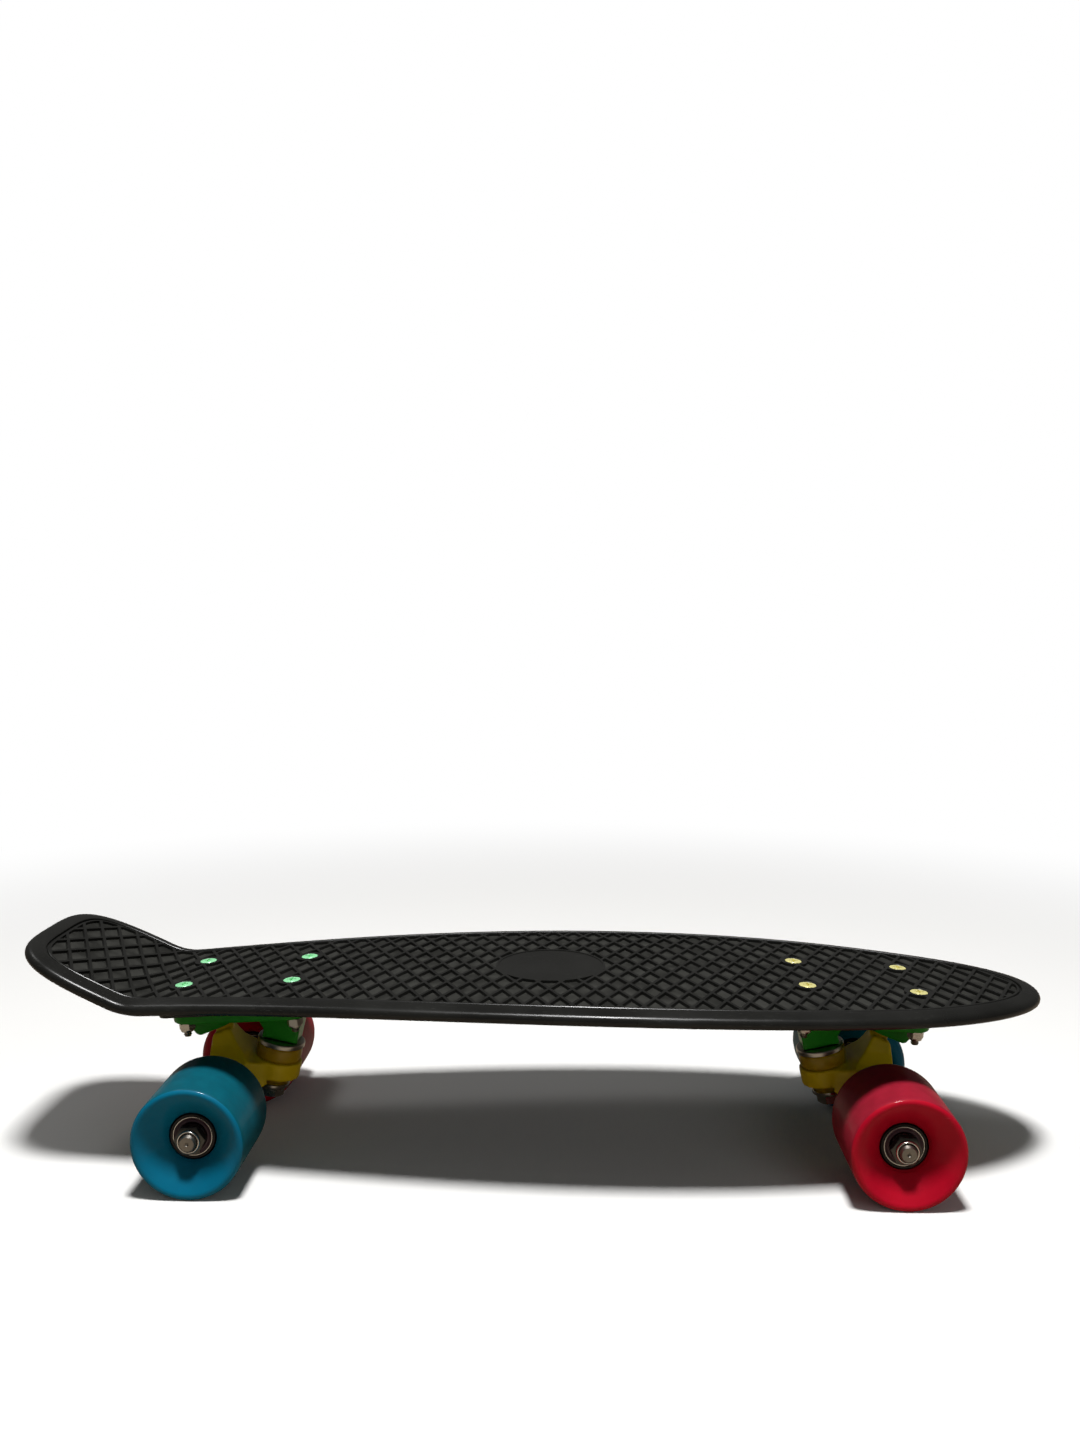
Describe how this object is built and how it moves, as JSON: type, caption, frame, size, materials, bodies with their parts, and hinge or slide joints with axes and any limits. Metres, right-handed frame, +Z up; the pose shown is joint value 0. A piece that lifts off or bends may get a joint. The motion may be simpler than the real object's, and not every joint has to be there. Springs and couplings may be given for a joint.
{
  "type": "cruiser skateboard",
  "caption": "Small cruiser skateboard: a moulded plastic deck with a kicked tail and a diamond-tread top, on sprung steering trucks with wide soft wheels.",
  "frame": {"origin": "middle of the base of the board's bounding box, on the floor under the deck", "axes": "+X towards the nose, +Y to the rider's left when facing the nose, +Z up from the floor"},
  "size_m": [0.5027, 0.156, 0.1063],
  "materials": {
    "deck": "moulded satin plastic, near black",
    "front_bolt": "pale yellow plated heads",
    "rear_bolt": "pale green plated heads",
    "baseplate": "green enamel",
    "hanger": "yellow enamel",
    "bushing": "translucent amber urethane",
    "pivot_cup": "black plastic liner",
    "steel": "zinc-plated steel",
    "red_wheel": "smooth red urethane",
    "blue_wheel": "smooth blue urethane",
    "bearing": "dark shield in a steel race"
  },
  "bodies": {
    "board": {"deck": "deck", "front_deck_bolt_1": "front_bolt", "front_lock_nut_1": "steel", "front_deck_bolt_2": "front_bolt", "front_lock_nut_2": "steel", "front_deck_bolt_3": "front_bolt", "front_lock_nut_3": "steel", "front_deck_bolt_4": "front_bolt", "front_lock_nut_4": "steel", "front_baseplate": "baseplate", "front_kingpin": "steel", "front_cup_washer": "steel", "front_board_bushing": "bushing", "front_road_bushing": "bushing", "front_road_washer": "steel", "front_kingpin_nut": "steel", "front_pivot_cup": "pivot_cup", "rear_deck_bolt_1": "rear_bolt", "rear_lock_nut_1": "steel", "rear_deck_bolt_2": "rear_bolt", "rear_lock_nut_2": "steel", "rear_deck_bolt_3": "rear_bolt", "rear_lock_nut_3": "steel", "rear_deck_bolt_4": "rear_bolt", "rear_lock_nut_4": "steel", "rear_baseplate": "baseplate", "rear_kingpin": "steel", "rear_cup_washer": "steel", "rear_board_bushing": "bushing", "rear_road_bushing": "bushing", "rear_road_washer": "steel", "rear_kingpin_nut": "steel", "rear_pivot_cup": "pivot_cup"},
    "front_axle_assembly": {"front_hanger": "hanger", "front_axle": "steel", "front_left_bearing_sleeve": "steel", "front_left_axle_nut": "steel", "front_right_bearing_sleeve": "steel", "front_right_axle_nut": "steel"},
    "front_left_wheel": {"front_left_wheel": "blue_wheel", "front_left_outer_bearing": "bearing", "front_left_inner_bearing": "bearing"},
    "front_right_wheel": {"front_right_wheel": "red_wheel", "front_right_outer_bearing": "bearing", "front_right_inner_bearing": "bearing"},
    "rear_axle_assembly": {"rear_hanger": "hanger", "rear_axle": "steel", "rear_left_bearing_sleeve": "steel", "rear_left_axle_nut": "steel", "rear_right_bearing_sleeve": "steel", "rear_right_axle_nut": "steel"},
    "rear_left_wheel": {"rear_left_wheel": "red_wheel", "rear_left_outer_bearing": "bearing", "rear_left_inner_bearing": "bearing"},
    "rear_right_wheel": {"rear_right_wheel": "blue_wheel", "rear_right_outer_bearing": "bearing", "rear_right_inner_bearing": "bearing"}
  },
  "joints": [
    {"name": "front_steer", "type": "hinge", "parent": "board", "child": "front_axle_assembly", "pos_m": [0.17651, 0, 0.05829], "axis": [-0.8088, 0, -0.5881], "range_deg": [-15, 15], "stiffness_Nm_per_rad": 15, "deforming": ["front_board_bushing", "front_road_bushing"]},
    {"name": "front_left_roll", "type": "hinge", "parent": "front_axle_assembly", "child": "front_left_wheel", "pos_m": [0.17001, 0.0535, 0.0263], "axis": [0, 1, 0], "continuous": true},
    {"name": "front_right_roll", "type": "hinge", "parent": "front_axle_assembly", "child": "front_right_wheel", "pos_m": [0.17001, -0.0535, 0.0263], "axis": [0, 1, 0], "continuous": true},
    {"name": "rear_steer", "type": "hinge", "parent": "board", "child": "rear_axle_assembly", "pos_m": [-0.16293, 0, 0.05829], "axis": [0.8088, 0, -0.5881], "range_deg": [-15, 15], "stiffness_Nm_per_rad": 15, "deforming": ["rear_board_bushing", "rear_road_bushing"]},
    {"name": "rear_left_roll", "type": "hinge", "parent": "rear_axle_assembly", "child": "rear_left_wheel", "pos_m": [-0.15643, 0.0535, 0.0263], "axis": [0, 1, 0], "continuous": true},
    {"name": "rear_right_roll", "type": "hinge", "parent": "rear_axle_assembly", "child": "rear_right_wheel", "pos_m": [-0.15643, -0.0535, 0.0263], "axis": [0, 1, 0], "continuous": true}
  ]
}
